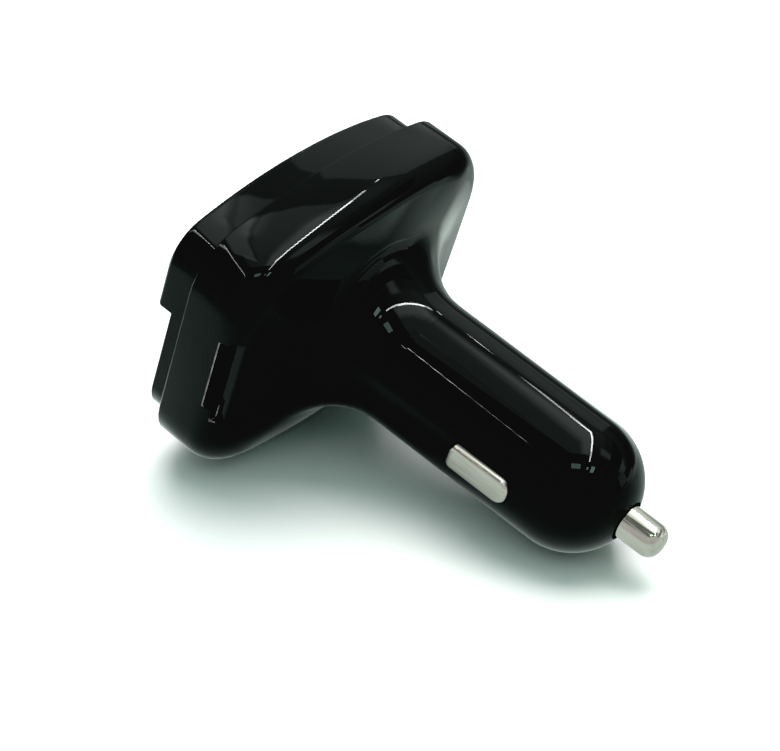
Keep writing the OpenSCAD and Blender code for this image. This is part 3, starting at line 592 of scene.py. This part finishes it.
# Solder where the header's pins pass the boards, and the cloth behind the microphone's hole
joints = {
    "radius": 0.82 * mm,
    "tip": 0.36 * mm,
    "height": 0.46 * mm,
    "pinXs": (-3.81 * mm, -1.27 * mm, 1.27 * mm, 3.81 * mm),
    "mainFace": (-17.544 * mm, 1.85 * mm),
    "powerFace": (-12.544 * mm, -0.6 * mm),
}
micCloth = {"radius": 1.75 * mm, "thickness": 0.12 * mm, "y": -19.12 * mm, "z": 11.375 * mm}


def makeJoints():
    deselectAll()
    bpy.ops.mesh.primitive_cone_add(vertices=24, radius1=joints["radius"], radius2=joints["tip"],
                                    depth=joints["height"], location=(0, 0, 0))
    joint = bpy.context.object
    joint.data.transform(Matrix.Translation((0, 0, joints["height"] / 2)))
    editMode(joint, "EDGE")
    bpy.ops.mesh.select_all(action="DESELECT")
    bpy.ops.object.mode_set(mode="OBJECT")
    points = [vertex.co for vertex in joint.data.vertices]
    selectWhere(joint.data.edges, lambda edge: all(points[index].z > joints["height"] * 0.9 for index in edge.vertices))
    bpy.ops.object.mode_set(mode="EDIT")
    bpy.ops.mesh.bevel(offset=0.16 * mm, segments=3)
    bpy.ops.object.mode_set(mode="OBJECT")
    twins = []
    for x in joints["pinXs"]:
        for place, turn in (((x, *joints["mainFace"]), Matrix.Rotation(math.pi / 2, 4, "X")),
                            ((x, *joints["powerFace"]), Matrix.Rotation(math.pi, 4, "X"))):
            twin = copyOf(joint, "headerJoint")
            twin.data.transform(Matrix.Translation(place) @ turn)
            twins.append(twin)
    bpy.data.objects.remove(joint)
    joinAs(twins, "headerSolder", finishes["solder"], bodyOf["header_pins"])


def makeMicCloth():
    deselectAll()
    bpy.ops.mesh.primitive_circle_add(vertices=32, radius=micCloth["radius"], fill_type="NGON")
    cloth = bpy.context.object
    editMode(cloth, "FACE")
    bpy.ops.mesh.inset(thickness=0.3 * mm)
    bpy.ops.mesh.inset(thickness=0.5 * mm)
    bpy.ops.object.mode_set(mode="OBJECT")
    thicken(cloth, micCloth["thickness"])
    piece = joinAs([cloth], "microphoneCloth", finishes["cloth"], bodyOf["microphone"])
    faceFront(piece, 0, micCloth["y"], micCloth["z"])


makeJoints()
makeMicCloth()
print("solder and microphone cloth made")

# The part lies on the head's lower edge and the barrel's end, in a white light tent.
# Right and ahead are metres from the part, seen from the camera
stage = {
    "tilt": math.radians(13.7),
    "drop": 17.07 * mm,
    "floorRadius": 1.6,
    "floorColour": (0.93, 0.93, 0.92),
    "fadeFrom": 0.28,       # beyond it the paper goes over into plain white
    "fadeTo": 0.55,
    # tint of the painted light and shade that glossy rays see on the paper
    "paintedPaperLightTint": (0.87, 1, 0.94),
    "ceilingHeight": 0.50,
    "ceilingColour": (0.93, 1, 0.97),
    "softTop": 7.0,         # lights the floor alone
    "softFill": 1.1,
    "sideCard": 0.85,
    "diffuseRoom": 0.5,
    "roomTint": (0.78, 1.0, 0.93),
    "roomNear": 0.58,       # what gloss shows of the room on the camera's side
    "roomFar": 0.28,
    "black": 0.0036,        # the photograph's own black
}

# patches of light: right from, ahead from, right to, ahead to, soft edge, slant low, slant high, strength
ceilingPatches = [
    (-0.05, -0.12, 0.20, 0.33, 0.006, 0, 0, 0.32),
    (-0.15, -0.13, -0.05, 0.0, 0.012, 0, 0, 0.27),
    (-0.09, 0.22, -0.025, 0.33, 0.015, 0, 0, 0.25),
    (-0.22, 0.42, -0.08, 0.56, 0.015, 0, 0, 0.22),
    (0.09, -0.11, 0.21, 0.27, 0.03, 0, 0, 0.66),
    (-0.21, -0.02, -0.06, 0.33, 0.010, 0, 0, 0.72),
    (0.21, 0.0, 0.42, 0.42, 0.05, 0, 0, 0.15),
    (0.235, 0.48, 0.18, 4.5, 0.006, 0.4, -0.45, 0.24),
    (0.12, 0.48, 0.42, 4.5, 0.08, -0.1, -0.1, 0.07),
    (-0.42, 0.22, -0.22, 0.78, 0.015, 0, 0, 0.25),
    (-0.20, 0.30, -0.08, 0.46, 0.015, 0, 0, 0.22),
    (0.36, -0.05, 0.62, 0.07, 0.03, 0, 0, 0.6),
    (1.25, -0.1, 2.3, 0.4, 0.08, 0, 0, 0.45),
    (-0.24, -0.48, 0.50, -0.13, 0.008, 0, 0, -0.42),
    (-0.80, -0.60, -0.29, -0.02, 0.02, 0, 0, -0.45),
    (0.64, -0.60, 1.2, 0.45, 0.03, 0, 0, -0.45),
]
# painted light and shade on the paper, seen only in gloss
floorPatches = [
    (0.012, 0.0, 0.125, 0.15, 0.02, 0, 0, 0.12),
    (0.005, 0.03, 0.05, 0.125, 0.015, -0.6, -0.6, 0.42),
    (0.015, 0.022, 0.045, 0.05, 0.01, 0, 0, 0.65),
    (0.022, 0.04, 0.05, 0.062, 0.008, 0, 0, 1.0),
    (0.155, 0.0, 0.20, 0.06, 0.012, 0, 0, 0.40),
    (-0.045, 0.04, 1.55, 0.45, 0.02, -2.44, 0, 0.40),
    (-0.057, 0.13, 1.55, 0.45, 0.02, -2.44, 0, 0.16),
    (0.34, -0.06, 0.95, 0.04, 0.02, 0, 0, 0.30),
    (0.08, 0.14, 0.19, 0.25, 0.03, 0, 0, 0.12),
    (0.0, 0.32, 0.22, 1.4, 0.03, 0, 0, 0.16),
    (-0.14, -0.050, -0.035, 0.045, 0.015, 0, 0, 0.20),
    (-0.06, 0.0, -0.03, 0.04, 0.006, 0, 0, 1.2),
    (-0.22, 0.030, -0.05, 0.20, 0.008, 0, 0, 1.2),
    # painted shadow under the part, seen only in gloss
    (-0.030, -0.020, 0.015, 0.055, 0.012, 0, 0, -0.40),
]
frontCards = [
    ("frontCardNear", (-0.05, -0.37), (0.10, -0.27), 2.2),
    ("frontCardMiddle", (0.19, -0.37), (0.23, -0.31), 3.0),
    ("frontCardFar", (0.27, -0.42), (0.35, -0.28), 3.2),
]
leftStreak = ((-0.25, 0.0), (-0.60, 0.28), 0.035, 3.2)

# strips of small lamps: name, right, ahead from, ahead to, width, strength
strips = [
    ("stripNear", 0.213, -0.05, 0.30, 0.019, 25.0),
    ("stripFront", 0.216, -0.22, -0.05, 0.019, 14.0),
    ("stripMiddle", 0.213, 0.30, 0.372, 0.017, 9.0),
    ("stripFar", 0.213, 0.44, 0.465, 0.010, 12.0),
    ("stripLeft", -0.253, -0.27, 0.04, 0.007, 12.0),
    ("stripLeftEnd", -0.250, -0.325, -0.27, 0.006, 7.0),
]
ledPitch = 0.012

cameraView = {
    "position": (0.25451207, 0.12134135, 0.24746336),
    "right": (-0.6120743, 0.7519419, 0.2448435),
    "up": (-0.4200582, -0.5714702, 0.7049630),
    "back": (0.6700121, 0.3286413, 0.6656416),
    "focalPixels": 2602.56,
    "imageWidth": 780,
}


def addCamera():
    data = bpy.data.cameras.new("photoCamera")
    data.sensor_fit = "HORIZONTAL"
    data.sensor_width = 36
    data.lens = cameraView["focalPixels"] / cameraView["imageWidth"] * data.sensor_width
    data.clip_start = 0.01
    camera = bpy.data.objects.new("photoCamera", data)
    bpy.context.scene.collection.objects.link(camera)
    axes = Matrix((cameraView["right"], cameraView["up"], cameraView["back"])).transposed().to_4x4()
    camera.matrix_world = Matrix.Translation(cameraView["position"]) @ axes
    bpy.context.scene.camera = camera


floorUp = Vector((0, -math.sin(stage["tilt"]), math.cos(stage["tilt"])))
floorPoint = -stage["drop"] * floorUp
ahead = -Vector(cameraView["back"])
ahead = (ahead - ahead.dot(floorUp) * floorUp).normalized()
right = ahead.cross(floorUp)


# A card in the tent: right and ahead are metres from the part, height is over the floor
def addCard(name, low, high, height, material):
    bpy.ops.mesh.primitive_plane_add(size=1)
    card = bpy.context.object
    card.name = name
    size = (high[0] - low[0], high[1] - low[1])
    middle = ((high[0] + low[0]) / 2, (high[1] + low[1]) / 2, 0)
    card.data.transform(Matrix.Translation(middle) @ Matrix.Diagonal((*size, 1, 1)))
    axes = Matrix((right, ahead, floorUp)).transposed().to_4x4()
    card.matrix_world = Matrix.Translation(floorPoint + height * floorUp) @ axes
    card.data.materials.append(material)
    card.visible_camera = False
    return card


def glowMaterial(name, strength, colour=(1, 1, 1)):
    material = bpy.data.materials.new(name)
    material.use_nodes = True
    tree = material.node_tree
    tree.nodes.clear()
    output = tree.nodes.new("ShaderNodeOutputMaterial")
    glow = tree.nodes.new("ShaderNodeEmission")
    glow.inputs["Color"].default_value = (*colour, 1)
    glow.inputs["Strength"].default_value = strength
    tree.links.new(glow.outputs["Emission"], output.inputs["Surface"])
    return material, tree, glow


def maths(tree, operation, *values):
    node = tree.nodes.new("ShaderNodeMath")
    node.operation = operation
    for socket, value in zip(node.inputs, values):
        if isinstance(value, (int, float)):
            socket.default_value = value
        else:
            tree.links.new(value, socket)
    return node.outputs["Value"]


# 1 inside a rectangle and 0 outside, with soft edges
def softBox(tree, across, along, patch):
    lowX, lowY, highX, highY, soft, slantLow, slantHigh, strength = patch
    fromLow = maths(tree, "MULTIPLY_ADD", along, slantLow, across)
    fromHigh = maths(tree, "MULTIPLY_ADD", along, slantHigh, across)
    inside = strength
    for value, edge, turn in ((fromLow, lowX, 1), (fromHigh, highX, -1), (along, lowY, 1), (along, highY, -1)):
        inside = maths(tree, "MULTIPLY", rangeOf(tree, value, edge - turn * soft, edge + turn * soft, 0, 1), inside)
    return inside


# Sum of the patches on a card's own right and ahead, with edges that wander a little
def patchesOf(tree, patches, wander, farFrom, farTo):
    coords = objectCoords(tree)
    ragged = tree.nodes.new("ShaderNodeTexNoise")
    ragged.inputs["Scale"].default_value = 22
    ragged.inputs["Detail"].default_value = 3
    tree.links.new(coords, ragged.inputs["Vector"])
    shifted = tree.nodes.new("ShaderNodeVectorMath")
    shifted.operation = "MULTIPLY_ADD"
    tree.links.new(ragged.outputs["Color"], shifted.inputs[0])
    shifted.inputs[1].default_value = (wander, wander, 0)
    tree.links.new(coords, shifted.inputs[2])
    back = tree.nodes.new("ShaderNodeVectorMath")
    back.operation = "SUBTRACT"
    tree.links.new(shifted.outputs["Vector"], back.inputs[0])
    back.inputs[1].default_value = (wander / 2, wander / 2, 0)
    split = tree.nodes.new("ShaderNodeSeparateXYZ")
    tree.links.new(back.outputs["Vector"], split.inputs["Vector"])
    total = rangeOf(tree, split.outputs["Y"], farFrom, farTo, stage["roomNear"], stage["roomFar"])
    for patch in patches:
        total = maths(tree, "ADD", softBox(tree, split.outputs["X"], split.outputs["Y"], patch), total)
    return total


def stripMaterial(name, strength):
    material, tree, glow = glowMaterial(name + "Glow", strength)
    wave = tree.nodes.new("ShaderNodeTexWave")
    wave.bands_direction = "Y"
    wave.wave_profile = "SIN"
    wave.inputs["Scale"].default_value = math.pi / ledPitch / 10
    tree.links.new(objectCoords(tree), wave.inputs["Vector"])
    dots = rangeOf(tree, wave.outputs["Fac"], 0.25, 0.75, 0.05 * strength, 1.7 * strength)
    tree.links.new(dots, glow.inputs["Strength"])
    return material


def addRoom():
    world = bpy.data.worlds.new("paleRoom")
    world.use_nodes = True
    tree = world.node_tree
    output = tree.nodes["World Output"]
    diffuse = tree.nodes["Background"]
    diffuse.inputs["Color"].default_value = (*stage["roomTint"], 1)
    diffuse.inputs["Strength"].default_value = stage["diffuseRoom"]
    reflected = tree.nodes.new("ShaderNodeBackground")
    gaze = tree.nodes.new("ShaderNodeTexCoord")
    facing = tree.nodes.new("ShaderNodeVectorMath")
    facing.operation = "DOT_PRODUCT"
    facing.inputs[1].default_value = ahead
    tree.links.new(gaze.outputs["Generated"], facing.inputs[0])
    fade = rangeOf(tree, facing.outputs["Value"], -0.2, 0.7, stage["roomNear"], stage["roomFar"])
    tree.links.new(fade, reflected.inputs["Strength"])
    seen = tree.nodes.new("ShaderNodeBackground")
    seen.inputs["Color"].default_value = (1, 1, 1, 1)
    path = tree.nodes.new("ShaderNodeLightPath")
    glossyMix = tree.nodes.new("ShaderNodeMixShader")
    cameraMix = tree.nodes.new("ShaderNodeMixShader")
    tree.links.new(path.outputs["Is Glossy Ray"], glossyMix.inputs["Fac"])
    tree.links.new(diffuse.outputs["Background"], glossyMix.inputs[1])
    tree.links.new(reflected.outputs["Background"], glossyMix.inputs[2])
    tree.links.new(path.outputs["Is Camera Ray"], cameraMix.inputs["Fac"])
    tree.links.new(glossyMix.outputs["Shader"], cameraMix.inputs[1])
    tree.links.new(seen.outputs["Background"], cameraMix.inputs[2])
    tree.links.new(cameraMix.outputs["Shader"], output.inputs["Surface"])
    bpy.context.scene.world = world


# The paper is plain and pale; glossy rays see painted light and shade on it instead, an emission pattern of bright
# patches with a painted shadow under the part
def addFloor():
    bpy.ops.mesh.primitive_circle_add(vertices=96, radius=stage["floorRadius"], fill_type="NGON")
    floor = bpy.context.object
    floor.name = "paleFloor"
    axes = Matrix((right, ahead, floorUp)).transposed().to_4x4()
    floor.matrix_world = Matrix.Translation(floorPoint) @ axes
    paper, tree, shader = newFinish("palePaper", stage["floorColour"], 0, 0.6)
    grain = noiseOf(tree, objectCoords(tree), 300, 3)
    bumpInto(tree, shader, grain, 0.02 * mm)
    reach = tree.nodes.new("ShaderNodeVectorMath")
    reach.operation = "LENGTH"
    tree.links.new(objectCoords(tree), reach.inputs[0])
    white = tree.nodes.new("ShaderNodeEmission")
    away = tree.nodes.new("ShaderNodeMixShader")
    tree.links.new(rangeOf(tree, reach.outputs["Value"], stage["fadeFrom"], stage["fadeTo"], 0, 1), away.inputs["Fac"])
    tree.links.new(shader.outputs["BSDF"], away.inputs[1])
    tree.links.new(white.outputs["Emission"], away.inputs[2])
    paintedPaperLight = tree.nodes.new("ShaderNodeEmission")
    paintedPaperLight.inputs["Color"].default_value = (*stage["paintedPaperLightTint"], 1)
    tree.links.new(patchesOf(tree, floorPatches, 0.006, 0.0, 0.2), paintedPaperLight.inputs["Strength"])
    path = tree.nodes.new("ShaderNodeLightPath")
    mix = tree.nodes.new("ShaderNodeMixShader")
    tree.links.new(path.outputs["Is Glossy Ray"], mix.inputs["Fac"])
    tree.links.new(away.outputs["Shader"], mix.inputs[1])
    tree.links.new(paintedPaperLight.outputs["Emission"], mix.inputs[2])
    tree.links.new(mix.outputs["Shader"], tree.nodes["Material Output"].inputs["Surface"])
    floor.data.materials.append(paper)


def addGlossCard(name, low, high, height, material):
    card = addCard(name, low, high, height, material)
    card.visible_diffuse = False
    card.visible_shadow = False
    return card


# A card between two points of the ceiling, or standing on the floor where upright is set
def turnCard(card, start, end, height, upright=False):
    along = (Vector((*end, 0)) - Vector((*start, 0))).normalized()
    axes = Matrix((right, ahead, floorUp)).transposed()
    side = along.cross(Vector((0, 0, 1)))
    turn = Matrix((along, Vector((0, 0, 1)), side) if upright else (side, along, Vector((0, 0, 1)))).transposed()
    middle = (Vector((*start, 0)) + Vector((*end, 0))) / 2 + Vector((0, 0, height))
    card.matrix_world = Matrix.Translation(floorPoint + axes @ middle) @ (axes @ turn).to_4x4()


def addStage():
    deselectAll()
    addFloor()
    top = stage["ceilingHeight"]
    ceilingGlow, tree, glow = glowMaterial("ceilingGlow", 1, stage["ceilingColour"])
    tree.links.new(patchesOf(tree, ceilingPatches, 0.03, 0.3, 1.3), glow.inputs["Strength"])
    addGlossCard("ceiling", (-0.8, -0.6), (2.4, 4.5), top, ceilingGlow)
    for name, across, start, end, width, strength in strips:
        addGlossCard(name, (across - width / 2, start), (across + width / 2, end), top - 2 * mm,
                     stripMaterial(name, strength))
    for name, low, high, strength in frontCards:
        addGlossCard(name, low, high, top - 2 * mm, glowMaterial(name + "Glow", strength, (0.78, 1, 0.93))[0])
    start, end, width, strength = leftStreak
    length = (Vector(end) - Vector(start)).length
    streakGlow = glowMaterial("leftStreakGlow", strength)[0]
    streak = addGlossCard("leftStreak", (-width / 2, -length / 2), (width / 2, length / 2), 0, streakGlow)
    turnCard(streak, start, end, top - 2 * mm)
    backGlow = glowMaterial("backCardGlow", 0.24, stage["ceilingColour"])[0]
    backCard = addGlossCard("backCard", (-1.3, -0.35), (1.3, 0.35), 0, backGlow)
    turnCard(backCard, (-0.2, 3.2), (2.4, 2.2), 0.2, True)
    sideGlow = glowMaterial("sideCardGlow", stage["sideCard"], stage["ceilingColour"])[0]
    sideCard = addGlossCard("sideCard", (-0.2, -0.2), (0.2, 0.2), 0, sideGlow)
    turnCard(sideCard, (1.5, 0.08), (1.5, -0.32), 0.25, True)
    lowCard = addGlossCard("lowCard", (-0.25, -0.05), (0.25, 0.05), 0, sideGlow)
    turnCard(lowCard, (1.5, 0.58), (1.5, 0.08), 0.05, True)
    fill = addCard("softFill", (-0.45, -0.6), (0.45, 0.0), top + 0.1,
                   glowMaterial("softFillGlow", stage["softFill"], stage["roomTint"])[0])
    fill.visible_glossy = False
    soft = addCard("softTop", (-0.28, 0.0), (0.32, 0.9), top + 0.1,
                   glowMaterial("softTopGlow", stage["softTop"])[0])
    soft.visible_glossy = False
    addRoom()


def setTone():
    view = bpy.context.scene.view_settings
    view.view_transform = "Standard"
    view.look = "None"
    view.use_curve_mapping = True
    curve = view.curve_mapping.curves[3]
    curve.points[0].location = (0, stage["black"])
    for x, y in ((0.028, 0.0038), (0.042, 0.0095), (0.108, 0.075)):
        curve.points.new(x, y)
    for point in curve.points:
        point.handle_type = "AUTO_CLAMPED"
    view.curve_mapping.update()


addCamera()
addStage()
setTone()
print("camera, floor and light placed")
